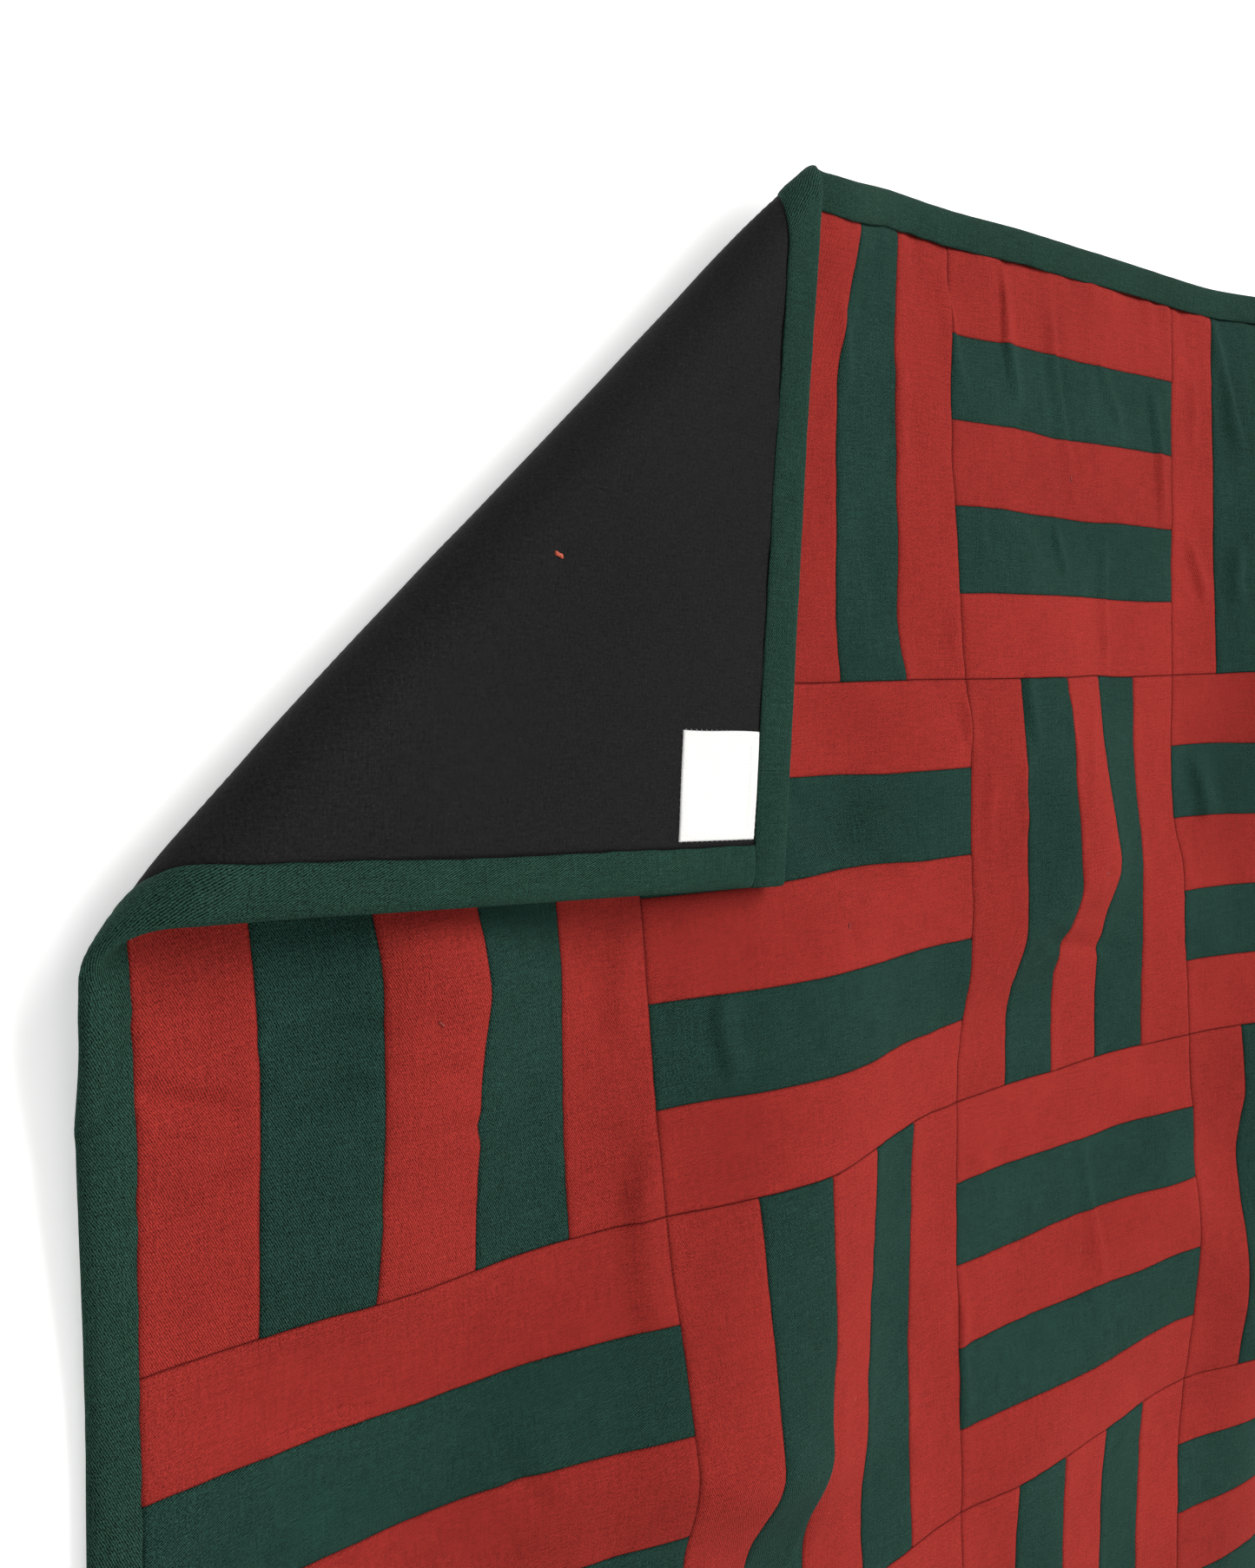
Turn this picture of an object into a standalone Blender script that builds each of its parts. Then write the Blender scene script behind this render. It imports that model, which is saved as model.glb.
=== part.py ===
"""Hanging pieced quilt, its top left corner folded forward and down.

Metres, +Z up. The front faces -Y and the cloth hangs in front of the plane
y = 0. The origin is the middle of the top edge, where the quilt is held.

The quilt is first laid out flat: u runs right from the left edge, v runs down
from the top edge, and w is the offset from the middle of its thickness,
positive on the front. lie() says how far each place stands out from the plane
it hangs against, and hang() turns (u, v, w) into a place in space, bent over
at the folded corner.
"""
import math

import bpy
import bmesh
from mathutils import Vector

for old in list(bpy.data.objects):
    bpy.data.objects.remove(old, do_unlink=True)

# ---- the flat quilt ----------------------------------------------------
STRIP = 0.050            # finished width of one strip
ACROSS = 20              # strips across
DOWN = 25                # strips down
BIND = 0.021             # width of the binding on each face
WIDTH = ACROSS * STRIP + 2 * BIND
LENGTH = DOWN * STRIP + 2 * BIND

TOP_T = 0.0030           # front cloth with its loft
BACK_T = 0.0012          # backing cloth
BIND_T = 0.0010          # binding cloth
LABEL_T = 0.0006
LABEL_SIDE = 0.0515
GAP = 0.0004             # between neighbouring pieces

STACK = TOP_T + GAP + BACK_T
FRONT = STACK / 2        # w of the front face
BACK = -STACK / 2        # w of the back face
INNER = FRONT + GAP      # inner faces of the binding
OUTER = INNER + BIND_T   # outer faces of the binding
INSET = BIND_T + GAP     # cloth edges inside the binding

# ---- the folded corner -------------------------------------------------
FOLD_ACROSS = 7.43 * STRIP   # where the fold meets the top edge
FOLD_DOWN = 6.97 * STRIP     # where the fold meets the left edge
FLAP_RISE = 0.0415           # the turned part's distance out at the fold
FLAP_DROOP = 0.044           # how it leans back towards its corner
TUCK_MAIN = 0.100            # how far from the fold its tucking reaches, main side
TUCK_FLAP = 0.090            # the same on the turned part
BEND_CUTS = (-1.0, -0.7, -0.46, -0.3, -0.15, 0.0, 0.15, 0.3, 0.46, 0.7, 1.0)

# ---- how far the fold is drawn in towards the cloth, along its length --
TUCK = (
    # name, at (strips from the fold's upper end), wide (strips), amount (m)
    ("tip",    -0.3, 1.1,  0.0115),
    ("upper",   1.6, 2.6,  0.0072),
    ("middle",  4.8, 2.0,  0.0018),
    ("lower",   8.3, 1.6, -0.0015),
    ("foot",   10.6, 0.8,  0.0095),
)

# ---- small sags of the cloth within its own plane ----------------------
NUDGE = (
    # name, at_u, at_v, wide_u, wide_v (strips), right, down (m)
    ("top_edge_sag",  10.4,  0.7, 1.10, 1.4, 0.0,     0.0036),
    ("upper_rise",     9.5,  2.0, 0.70, 0.9, 0.0,    -0.0024),
    ("behind_flap",    7.5,  3.2, 0.90, 1.3, 0.0,     0.0045),
    ("left_edge_in",   0.0, 10.5, 0.35, 1.3, 0.0028,  0.0),
)

# ---- how the hanging cloth lies, in strip widths -----------------------
HELD_OUT = 0.076         # middle of the thickness, where the cloth lies flat
RELIEF = (
    # name, from_u, from_v, to_u, to_v, left, right, rise_from, rise_to, fade
    ("long_fold",     8.51,  5.84,  6.39, 13.01, 2.14, 1.87,  0.35,  0.94, 0.95),
    ("flap_hollow",   9.30,  5.25,  8.01,  6.55, 1.62, 1.16, -0.13, -0.55, 0.75),
    ("left_knuckle",  2.99,  7.91,  2.53,  9.59, 1.05, 1.13,  0.53,  0.25, 1.00),
    ("edge_lift",    -0.37,  7.74,  0.20,  8.00, 2.20, 1.41,  0.62,  0.25, 1.68),
    ("right_fold",   18.28,  2.19, 17.35, 13.80, 1.39, 2.04,  0.61,  0.80, 2.98),
    ("middle_swell", 10.90,  2.60, 12.83,  7.86, 2.60, 1.29,  0.06,  0.52, 0.75),
    ("right_foot",   15.25, 13.00, 11.72, 15.28, 1.33, 1.96,  0.39,  0.22, 0.90),
    ("left_foot",     4.29, 13.62,  4.92, 14.60, 2.01, 1.10,  0.16,  0.60, 0.85),
    ("right_crease", 15.25,  8.35, 15.82, 11.31, 1.70, 1.73,  0.20,  0.27, 0.80),
    ("left_tail",     5.10, 15.80,  5.60, 18.60, 1.60, 1.40,  0.34,  0.12, 1.20),
    ("long_tail",     7.60, 16.20,  8.40, 21.00, 1.70, 1.90,  0.30,  0.12, 1.80),
    ("low_middle",   11.60, 19.00, 12.60, 25.80, 2.10, 1.80,  0.24,  0.40, 2.20),
    ("low_right",    17.20, 18.40, 16.60, 25.80, 1.90, 2.20,  0.30,  0.46, 2.40),
    ("hem_left",      2.40, 22.40,  2.00, 25.80, 1.90, 1.70,  0.18,  0.38, 1.80),
    ("tip_lift",      7.20,  0.00,  7.70,  0.30, 1.50, 1.50,  0.45,  0.45, 1.30),
)


def lie(u, v):
    """Distance of the cloth's middle from the plane y = 0, in metres."""
    us, vs = u / STRIP, v / STRIP
    out = HELD_OUT
    for (_, u0, v0, u1, v1, left, right, rise_from, rise_to, fade) in RELIEF:
        run = math.hypot(u1 - u0, v1 - v0)
        du, dv = (u1 - u0) / run, (v1 - v0) / run
        along = (us - u0) * du + (vs - v0) * dv
        aside = (us - u0) * dv - (vs - v0) * du
        past = max(-along, along - run, 0.0)
        rise = rise_from + (rise_to - rise_from) * min(max(along / run, 0.0), 1.0)
        spread = right if aside > 0 else left
        out += rise * math.exp(-(aside / spread) ** 2 - (past / fade) ** 2)
    # cloth never presses into what it hangs against
    low = HELD_OUT
    soft = 0.10
    if out < low + soft:
        short = low + soft - out
        out = low + soft - soft * math.tanh(short / soft)
    return out * STRIP


FOLD_RUN = math.hypot(FOLD_ACROSS, FOLD_DOWN)
FOLD_U, FOLD_V = FOLD_DOWN / FOLD_RUN, FOLD_ACROSS / FOLD_RUN  # away from the corner
FOLD_OFF = FOLD_ACROSS * FOLD_DOWN / FOLD_RUN                  # corner to fold line


def bend_radius(u_line, v_line):
    """Radius of the bend, and the height it starts from, at a place on the fold line."""
    radius = FLAP_RISE / 2
    rest = 0.0
    for _ in range(5):
        reach = math.pi * radius / 2
        rest = lie(u_line + reach * FOLD_U, v_line + reach * FOLD_V)
        radius = (FLAP_RISE - rest) / 2
    return radius, rest


def ease(t):
    """Smooth step from 0 to 1."""
    t = min(max(t, 0.0), 1.0)
    return t * t * (3 - 2 * t)


def drift(u, v, past):
    """How far the cloth is drawn right and down within its plane, in metres."""
    along = (FOLD_ACROSS - u) * FOLD_V + v * FOLD_U
    tuck = sum(amount * math.exp(-((along / STRIP - at) / wide) ** 2)
               for _, at, wide, amount in TUCK)
    if past > 0:
        tuck *= 1 - ease((past - 0.020) / TUCK_FLAP)
    else:
        tuck *= 1 - ease((-past - 0.020) / TUCK_MAIN)
    # the main side sags, the turned part slides along its own edges
    share = min(max(along / FOLD_RUN, 0.0), 1.0)
    turned = ease((past + 0.020) / 0.040)
    right = tuck * ((1 - turned) * (0.45 - 0.35 * share) + turned * (0.10 + 0.895 * share))
    down = tuck * ((1 - turned) * (0.89 + 0.105 * share) + turned * (0.995 - 0.895 * share))
    for _, at_u, at_v, wide_u, wide_v, to_right, to_down in NUDGE:
        bump = (1 - turned) * math.exp(-((u / STRIP - at_u) / wide_u) ** 2
                                       - ((v / STRIP - at_v) / wide_v) ** 2)
        right += to_right * bump
        down += to_down * bump
    return right, down


def middle(u, v):
    """Where the middle of the thickness hangs, for a place (u, v) on the flat quilt."""
    past = FOLD_OFF - u * FOLD_U - v * FOLD_V      # positive beyond the fold line
    right, down = drift(u, v, past)
    if past < -0.040:
        return Vector((u + right - WIDTH / 2, -lie(u, v), -v - down))
    u_line, v_line = u + past * FOLD_U, v + past * FOLD_V
    radius, rest = bend_radius(u_line, v_line)
    reach = math.pi * radius / 2
    if past <= -reach:
        shift, out = past, lie(u, v)
    elif past < reach:
        turn = (past + reach) / radius
        shift = -reach + radius * math.sin(turn)
        out = rest + radius * (1 - math.cos(turn))
    else:
        shift = -past
        out = FLAP_RISE - FLAP_DROOP * (past - reach)
    return Vector((u_line - shift * FOLD_U + right - WIDTH / 2, -out,
                   -(v_line - shift * FOLD_V + down)))


def hang(u, v, w):
    """Place in space of the point (u, v, w) of the flat quilt."""
    step = 0.0015
    along_u = middle(u + step, v) - middle(u - step, v)
    along_v = middle(u, v + step) - middle(u, v - step)
    return middle(u, v) + w * along_v.cross(along_u).normalized()


# ---- flat solids, cut into cells, then hung ----------------------------
def grid_lines(low, high, side):
    """Cell lines from low to high: the binding's seams and every strip's width between."""
    seams = [BIND + STRIP * k for k in range(int(round((side - 2 * BIND) / STRIP)) + 1)]
    return [low] + [s for s in seams if low + 0.002 < s < high - 0.002] + [high]


def flat_solid(us, vs, ws, filled):
    """Closed body of the cells (i, j, k) for which filled() is true."""
    mesh = bmesh.new()
    made = {}

    def corner(i, j, k):
        if (i, j, k) not in made:
            made[i, j, k] = mesh.verts.new((us[i], vs[j], ws[k]))
        return made[i, j, k]

    def is_in(i, j, k):
        inside = 0 <= i < len(us) - 1 and 0 <= j < len(vs) - 1 and 0 <= k < len(ws) - 1
        return inside and filled(i, j, k)

    for i in range(len(us) - 1):
        for j in range(len(vs) - 1):
            for k in range(len(ws) - 1):
                if not is_in(i, j, k):
                    continue
                sides = (
                    ((-1, 0, 0), ((0, 0, 0), (0, 0, 1), (0, 1, 1), (0, 1, 0))),
                    ((1, 0, 0), ((1, 0, 0), (1, 1, 0), (1, 1, 1), (1, 0, 1))),
                    ((0, -1, 0), ((0, 0, 0), (1, 0, 0), (1, 0, 1), (0, 0, 1))),
                    ((0, 1, 0), ((0, 1, 0), (0, 1, 1), (1, 1, 1), (1, 1, 0))),
                    ((0, 0, -1), ((0, 0, 0), (0, 1, 0), (1, 1, 0), (1, 0, 0))),
                    ((0, 0, 1), ((0, 0, 1), (1, 0, 1), (1, 1, 1), (0, 1, 1))),
                )
                for (di, dj, dk), ring in sides:
                    if not is_in(i + di, j + dj, k + dk):
                        mesh.faces.new([corner(i + a, j + b, k + c) for a, b, c in ring])
    return mesh


def cut_for_fold(mesh):
    """Cut the flat body by lines beside the fold, where it bends."""
    reach = math.pi * (FLAP_RISE - HELD_OUT * STRIP) / 4
    for share in BEND_CUTS:
        off = FOLD_OFF + share * reach
        bmesh.ops.bisect_plane(
            mesh, geom=mesh.verts[:] + mesh.edges[:] + mesh.faces[:], dist=0.0009,
            plane_co=(off * FOLD_U, off * FOLD_V, 0.0), plane_no=(FOLD_U, FOLD_V, 0.0))


def hung_object(name, flat, colour, roughness):
    """Hang a flat body: every face is fanned from its lowest (u, v) corner."""
    cut_for_fold(flat)
    flat.verts.index_update()
    points = [hang(*vert.co) for vert in flat.verts]
    triangles = []
    for face in flat.faces:
        ring = [vert.index for vert in face.verts]
        keys = [(round(vert.co.x, 5), round(vert.co.y, 5), round(vert.co.z, 5))
                for vert in face.verts]
        start = keys.index(min(keys))
        ring = ring[start:] + ring[:start]
        for n in range(1, len(ring) - 1):
            # laying v downwards mirrors the flat quilt, so each triangle is turned round
            triangles.append((ring[0], ring[n + 1], ring[n]))
    flat.free()
    mesh = bpy.data.meshes.new(name)
    mesh.from_pydata(points, [], triangles)
    mesh.update()
    mesh.validate()
    mesh.shade_smooth()
    mesh.set_sharp_from_angle(angle=math.radians(40))
    piece = bpy.data.objects.new(name, mesh)
    bpy.context.scene.collection.objects.link(piece)
    cloth = bpy.data.materials.new(name)
    cloth.use_nodes = True
    shader = cloth.node_tree.nodes["Principled BSDF"]
    shader.inputs["Base Color"].default_value = (*colour, 1.0)
    shader.inputs["Roughness"].default_value = roughness
    shader.inputs["Metallic"].default_value = 0.0
    mesh.materials.append(cloth)
    return piece


def all_filled(i, j, k):
    return True


RED = (0.36, 0.030, 0.024)
GREEN = (0.014, 0.062, 0.044)
BLACK = (0.011, 0.011, 0.013)
WHITE = (0.78, 0.78, 0.76)

# the two sheets
cloth_us = grid_lines(INSET, WIDTH - INSET, WIDTH)
cloth_vs = grid_lines(INSET, LENGTH - INSET, LENGTH)
hung_object("pieced_top", flat_solid(cloth_us, cloth_vs, [FRONT - TOP_T, FRONT], all_filled),
            RED, 0.85)
hung_object("backing", flat_solid(cloth_us, cloth_vs, [BACK, BACK + BACK_T], all_filled),
            BLACK, 0.80)

# the binding: a folded channel round each edge
around = [-OUTER, -INNER, INNER, OUTER]
full_us = grid_lines(0.0, WIDTH, WIDTH)
full_us = full_us[:1] + [BIND_T] + full_us[1:-1] + [WIDTH - BIND_T] + full_us[-1:]
last_u = len(full_us) - 2


def end_to_end(edge_cell):
    """Channel with closed ends along the top or bottom edge."""
    def filled(i, j, k):
        return k != 1 or j == edge_cell or i == 0 or i == last_u
    return filled


hung_object("binding_top",
            flat_solid(full_us, [0.0, BIND_T, BIND], around, end_to_end(0)), GREEN, 0.80)
hung_object("binding_bottom",
            flat_solid(full_us, [LENGTH - BIND, LENGTH - BIND_T, LENGTH], around, end_to_end(1)),
            GREEN, 0.80)

side_vs = grid_lines(BIND + GAP, LENGTH - BIND - GAP, LENGTH)


def side_channel(edge_cell):
    """Open-ended channel along a side edge, butted under the other two."""
    def filled(i, j, k):
        return k != 1 or i == edge_cell
    return filled


hung_object("binding_left",
            flat_solid([0.0, BIND_T, BIND], side_vs, around, side_channel(0)), GREEN, 0.80)
hung_object("binding_right",
            flat_solid([WIDTH - BIND, WIDTH - BIND_T, WIDTH], side_vs, around, side_channel(1)),
            GREEN, 0.80)

# the small bare label on the backing, beside the corner
label_low = BIND + 0.0030
label_w = BACK - GAP
label_line = BIND + STRIP
label_us = [label_low, label_line, label_low + LABEL_SIDE]
hung_object("label",
            flat_solid(label_us, label_us, [label_w - LABEL_T, label_w], all_filled), WHITE, 0.75)
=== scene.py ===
"""Looks of the hanging pieced quilt: sewn strips, plump binding, dark backing, bare label.

The quilt is laid out flat as (u, v, w): u runs right from its left edge, v runs
down from its top edge, w is the offset from the middle of its thickness. hang()
turns that into its place as it hangs, bent over at the folded corner.
"""
import math

import bpy
import numpy as np
from mathutils import Matrix, Vector


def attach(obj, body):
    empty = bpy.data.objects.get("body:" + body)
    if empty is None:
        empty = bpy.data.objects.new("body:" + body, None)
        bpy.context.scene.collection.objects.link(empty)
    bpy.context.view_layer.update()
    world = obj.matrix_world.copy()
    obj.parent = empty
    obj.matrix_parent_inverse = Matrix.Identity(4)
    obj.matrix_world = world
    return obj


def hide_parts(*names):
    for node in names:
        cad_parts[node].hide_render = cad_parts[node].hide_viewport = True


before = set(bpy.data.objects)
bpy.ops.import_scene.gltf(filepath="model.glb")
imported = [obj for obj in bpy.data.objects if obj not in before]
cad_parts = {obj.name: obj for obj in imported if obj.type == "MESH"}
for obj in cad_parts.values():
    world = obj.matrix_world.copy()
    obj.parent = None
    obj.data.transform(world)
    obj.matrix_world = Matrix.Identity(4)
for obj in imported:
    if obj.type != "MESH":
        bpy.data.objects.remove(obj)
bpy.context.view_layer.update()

# ------------------------------------------------------------------------
# sizes, in metres
# ------------------------------------------------------------------------
STRIP = 0.050
ACROSS, DOWN = 20, 25
BLOCK = 5                      # strips in one block of the piecing
BIND = 0.021
WIDTH = ACROSS * STRIP + 2 * BIND
LENGTH = DOWN * STRIP + 2 * BIND
TOP_T, BACK_T, BIND_T, GAP = 0.0030, 0.0012, 0.0010, 0.0004
FRONT = (TOP_T + GAP + BACK_T) / 2
BACK = -FRONT
INSET = BIND_T + GAP
LABEL_SIDE = 0.0515

FOLD_ACROSS = 7.43 * STRIP
FOLD_DOWN = 6.97 * STRIP
FLAP_RISE = 0.0415
FLAP_DROOP = 0.044
HELD_OUT = 0.076

RELIEF = (
    # name, from_u, from_v, to_u, to_v, left, right, rise_from, rise_to, fade
    ("long_fold",     8.51,  5.84,  6.39, 13.01, 2.14, 1.87,  0.35,  0.94, 0.95),
    ("flap_hollow",   9.30,  5.25,  8.01,  6.55, 1.62, 1.16, -0.13, -0.55, 0.75),
    ("left_knuckle",  2.99,  7.91,  2.53,  9.59, 1.05, 1.13,  0.53,  0.25, 1.00),
    ("edge_lift",    -0.37,  7.74,  0.20,  8.00, 2.20, 1.41,  0.62,  0.25, 1.68),
    ("right_fold",   18.28,  2.19, 17.35, 13.80, 1.39, 2.04,  0.61,  0.80, 2.98),
    ("middle_swell", 10.90,  2.60, 12.83,  7.86, 2.60, 1.29,  0.06,  0.52, 0.75),
    ("right_foot",   15.25, 13.00, 11.72, 15.28, 1.33, 1.96,  0.39,  0.22, 0.90),
    ("left_foot",     4.29, 13.62,  4.92, 14.60, 2.01, 1.10,  0.16,  0.60, 0.85),
    ("right_crease", 15.25,  8.35, 15.82, 11.31, 1.70, 1.73,  0.20,  0.27, 0.80),
    ("left_tail",     5.10, 15.80,  5.60, 18.60, 1.60, 1.40,  0.34,  0.12, 1.20),
    ("long_tail",     7.60, 16.20,  8.40, 21.00, 1.70, 1.90,  0.30,  0.12, 1.80),
    ("low_middle",   11.60, 19.00, 12.60, 25.80, 2.10, 1.80,  0.24,  0.40, 2.20),
    ("low_right",    17.20, 18.40, 16.60, 25.80, 1.90, 2.20,  0.30,  0.46, 2.40),
    ("hem_left",      2.40, 22.40,  2.00, 25.80, 1.90, 1.70,  0.18,  0.38, 1.80),
    ("tip_lift",      7.20,  0.00,  7.70,  0.30, 1.50, 1.50,  0.45,  0.45, 1.30),
)

# how far the fold is drawn in towards the cloth, along its length
TUCK_MAIN, TUCK_FLAP = 0.100, 0.090
TUCK = (
    # at (strips from the fold's upper end), wide (strips), amount (m)
    (-0.3, 1.1,  0.0115),
    ( 1.6, 2.6,  0.0072),
    ( 4.8, 2.0,  0.0018),
    ( 8.3, 1.6, -0.0015),
    (10.6, 0.8,  0.0095),
)
# small sags of the cloth within its own plane
NUDGE = (
    # at_u, at_v, wide_u, wide_v (strips), right, down (m)
    (10.4,  0.7, 1.10, 1.4, 0.0,     0.0036),
    ( 9.5,  2.0, 0.70, 0.9, 0.0,    -0.0024),
    ( 7.5,  3.2, 0.90, 1.3, 0.0,     0.0045),
    ( 0.0, 10.5, 0.35, 1.3, 0.0028,  0.0),
)

# small creases in the front cloth alone: strips for places, millimetres for size.
# A crease whose two flanks are unequal is steep on the narrower one.
CREASES = (
    # from_u, from_v, to_u, to_v, left_mm, right_mm, rise_mm
    (11.38,  0.44, 11.74,  2.28,  3.4, 13.0,  2.55),
    (10.18,  0.60, 10.78,  2.24, 12.0,  3.8,  2.13),
    (12.42,  0.44, 13.02,  3.44, 10.0,  4.2,  1.72),
    (13.50,  1.20, 14.10,  2.36,  4.0,  9.0,  1.52),
    (14.82,  1.48, 15.18,  3.44,  3.6, 12.0,  2.55),
    (15.90,  1.24, 16.06,  2.32,  8.0,  4.2,  1.33),
    (16.38,  0.40, 17.10,  2.36, 10.0,  4.0,  2.23),
    (15.70,  3.52, 16.30,  4.44,  4.0, 12.0,  2.55),
    (16.82,  3.48, 16.94,  4.48, 10.0,  4.5,  1.93),
    (12.42,  3.48, 12.62,  4.24,  3.6,  8.0,  1.93),
    (13.70,  3.40, 13.62,  5.64,  8.0,  4.6,  1.52),
    (10.26,  4.60, 10.38,  5.28,  8.0,  4.0,  1.13),
    (10.82,  3.20, 10.98,  4.10,  7.0,  4.0,  1.01),
    ( 8.22,  1.20,  8.66,  2.40,  8.0,  5.0,  1.52),
    ( 9.42,  1.76,  9.58,  3.28,  8.0, 10.0,  1.33),
    (11.50,  5.20, 11.66,  6.36,  3.8,  8.0,  1.93),
    (10.26,  5.68, 10.50,  6.20,  4.0,  9.0,  1.72),
    (12.46,  5.60, 12.46,  6.60,  7.0,  4.0,  1.33),
    (13.26,  5.64, 12.54,  7.24,  7.0,  4.0,  1.22),
    (10.74,  6.32, 10.82,  7.52,  7.0,  4.0,  1.22),
    (11.38,  6.32, 11.46,  7.28,  7.0,  4.0,  1.13),
    (15.82,  6.56, 16.22,  7.56,  7.0, 14.0,  3.26),
    (11.62,  8.52, 14.22,  9.12,  6.0,  9.0, -1.56),
    ( 0.38,  8.00,  1.26,  8.60,  7.0,  7.0, -2.48),
    ( 1.30,  8.00,  2.55,  8.08,  5.5,  6.5, -2.09),
    ( 0.46,  9.10,  1.44,  9.02,  7.0,  8.0, -1.69),
    ( 1.38,  8.60,  2.40,  8.52,  6.0,  7.0, -1.89),
    ( 2.42,  8.55,  3.40,  8.60,  6.0,  7.0, -1.10),
    ( 2.42,  9.14,  3.70,  9.10,  6.0,  7.0, -1.10),
    ( 5.14,  7.50,  5.10,  8.92,  5.0, 14.0,  2.23),
    ( 5.22,  9.56,  5.10, 11.60,  5.5, 16.0,  3.17),
    ( 6.22,  8.30,  6.18,  9.32,  4.0, 10.0,  2.44),
    ( 1.42, 11.12,  2.50, 11.32,  7.0,  7.0, -1.05),
    ( 3.46, 12.20,  4.10, 12.76,  6.0,  8.0, -1.17),
    ( 2.74, 11.60,  3.34, 11.40,  7.0,  7.0, -0.79),
    ( 4.42,  9.48,  5.26,  9.56,  6.0,  6.0, -0.65),
    (17.90,  0.50, 18.30,  3.40,  4.2, 10.0,  1.72),
    (19.00,  0.60, 19.20,  2.60,  8.0,  5.0,  1.52),
    (17.60,  5.20, 17.90,  8.20,  6.0, 10.0,  1.82),
    (18.60,  8.60, 18.40, 11.80,  9.0,  7.0,  1.62),
    ( 7.60, 12.40,  7.30, 15.00,  8.0,  7.0, -1.26),
    (10.40, 12.60, 10.60, 14.60,  5.0,  9.0,  1.62),
    (13.20, 11.20, 13.30, 13.60,  9.0,  5.0,  1.52),
    ( 7.00, 16.90,  9.60, 17.40,  7.0,  7.0,  1.01),
    (14.20, 18.40, 14.60, 21.60,  8.0,  8.0, -1.26),
    ( 5.20, 20.60,  5.00, 23.20,  7.0,  7.0,  1.43),
    (18.60, 15.20, 18.90, 18.40,  7.0,  7.0,  1.43),
    ( 1.00, 16.20,  3.20, 16.60,  7.0,  7.0, -0.79),
    (10.80, 20.20, 13.00, 20.70,  7.0,  7.0,  1.01),
)


def lie(u, v):
    """Distance of the cloth's middle from the plane y = 0."""
    us, vs = u / STRIP, v / STRIP
    out = np.full(np.broadcast(us, vs).shape, HELD_OUT)
    for (_, u0, v0, u1, v1, left, right, rise_from, rise_to, fade) in RELIEF:
        run = math.hypot(u1 - u0, v1 - v0)
        du, dv = (u1 - u0) / run, (v1 - v0) / run
        along = (us - u0) * du + (vs - v0) * dv
        aside = (us - u0) * dv - (vs - v0) * du
        past = np.maximum(np.maximum(-along, along - run), 0.0)
        rise = rise_from + (rise_to - rise_from) * np.clip(along / run, 0.0, 1.0)
        spread = np.where(aside > 0, right, left)
        out = out + rise * np.exp(-(aside / spread) ** 2 - (past / fade) ** 2)
    low, soft = HELD_OUT, 0.10
    short = low + soft - out
    return np.where(short > 0, low + soft - soft * np.tanh(short / soft), out) * STRIP


FOLD_RUN = math.hypot(FOLD_ACROSS, FOLD_DOWN)
FOLD_U, FOLD_V = FOLD_DOWN / FOLD_RUN, FOLD_ACROSS / FOLD_RUN
FOLD_OFF = FOLD_ACROSS * FOLD_DOWN / FOLD_RUN


def ease(t):
    t = np.clip(t, 0.0, 1.0)
    return t * t * (3 - 2 * t)


def drift(u, v, past):
    """How far the cloth is drawn right and down within its plane."""
    along = (FOLD_ACROSS - u) * FOLD_V + v * FOLD_U
    tuck = sum(amount * np.exp(-((along / STRIP - at) / wide) ** 2) for at, wide, amount in TUCK)
    tuck = tuck * np.where(past > 0, 1 - ease((past - 0.020) / TUCK_FLAP),
                           1 - ease((-past - 0.020) / TUCK_MAIN))
    share = np.clip(along / FOLD_RUN, 0.0, 1.0)
    turned = ease((past + 0.020) / 0.040)
    right = tuck * ((1 - turned) * (0.45 - 0.35 * share) + turned * (0.10 + 0.895 * share))
    down = tuck * ((1 - turned) * (0.89 + 0.105 * share) + turned * (0.995 - 0.895 * share))
    for at_u, at_v, wide_u, wide_v, to_right, to_down in NUDGE:
        bump = (1 - turned) * np.exp(-((u / STRIP - at_u) / wide_u) ** 2
                                     - ((v / STRIP - at_v) / wide_v) ** 2)
        right = right + to_right * bump
        down = down + to_down * bump
    return right, down


def middle(u, v):
    """Where the middle of the thickness hangs: arrays in, (..., 3) out."""
    u, v = np.broadcast_arrays(np.asarray(u, float), np.asarray(v, float))
    past = FOLD_OFF - u * FOLD_U - v * FOLD_V
    x, out, z = u.copy(), lie(u, v), v.copy()
    near = past > -0.040
    if near.any():
        p = past[near]
        ul, vl = u[near] + p * FOLD_U, v[near] + p * FOLD_V
        radius = np.full(p.shape, FLAP_RISE / 2)
        rest = np.zeros(p.shape)
        for _ in range(5):
            reach = math.pi * radius / 2
            rest = lie(ul + reach * FOLD_U, vl + reach * FOLD_V)
            radius = (FLAP_RISE - rest) / 2
        reach = math.pi * radius / 2
        turn = np.clip((p + reach) / radius, 0.0, math.pi)
        bent = (p > -reach) & (p < reach)
        over = p >= reach
        shift = np.where(bent, -reach + radius * np.sin(turn), np.where(over, -p, p))
        height = np.where(
            bent, rest + radius * (1 - np.cos(turn)),
            np.where(over, FLAP_RISE - FLAP_DROOP * (p - reach), out[near]))
        x[near], z[near], out[near] = ul - shift * FOLD_U, vl - shift * FOLD_V, height
    right, down = drift(u, v, past)
    return np.stack([x + right - WIDTH / 2, -out, -z - down], -1)


def hang(u, v, w):
    """Places of the points (u, v, w) of the flat quilt as it hangs."""
    step = 0.0015
    along_u = middle(u + step, v) - middle(u - step, v)
    along_v = middle(u, v + step) - middle(u, v - step)
    out = np.cross(along_v, along_u)
    out /= np.linalg.norm(out, axis=-1, keepdims=True)
    return middle(u, v) + np.asarray(w)[..., None] * out


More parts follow.
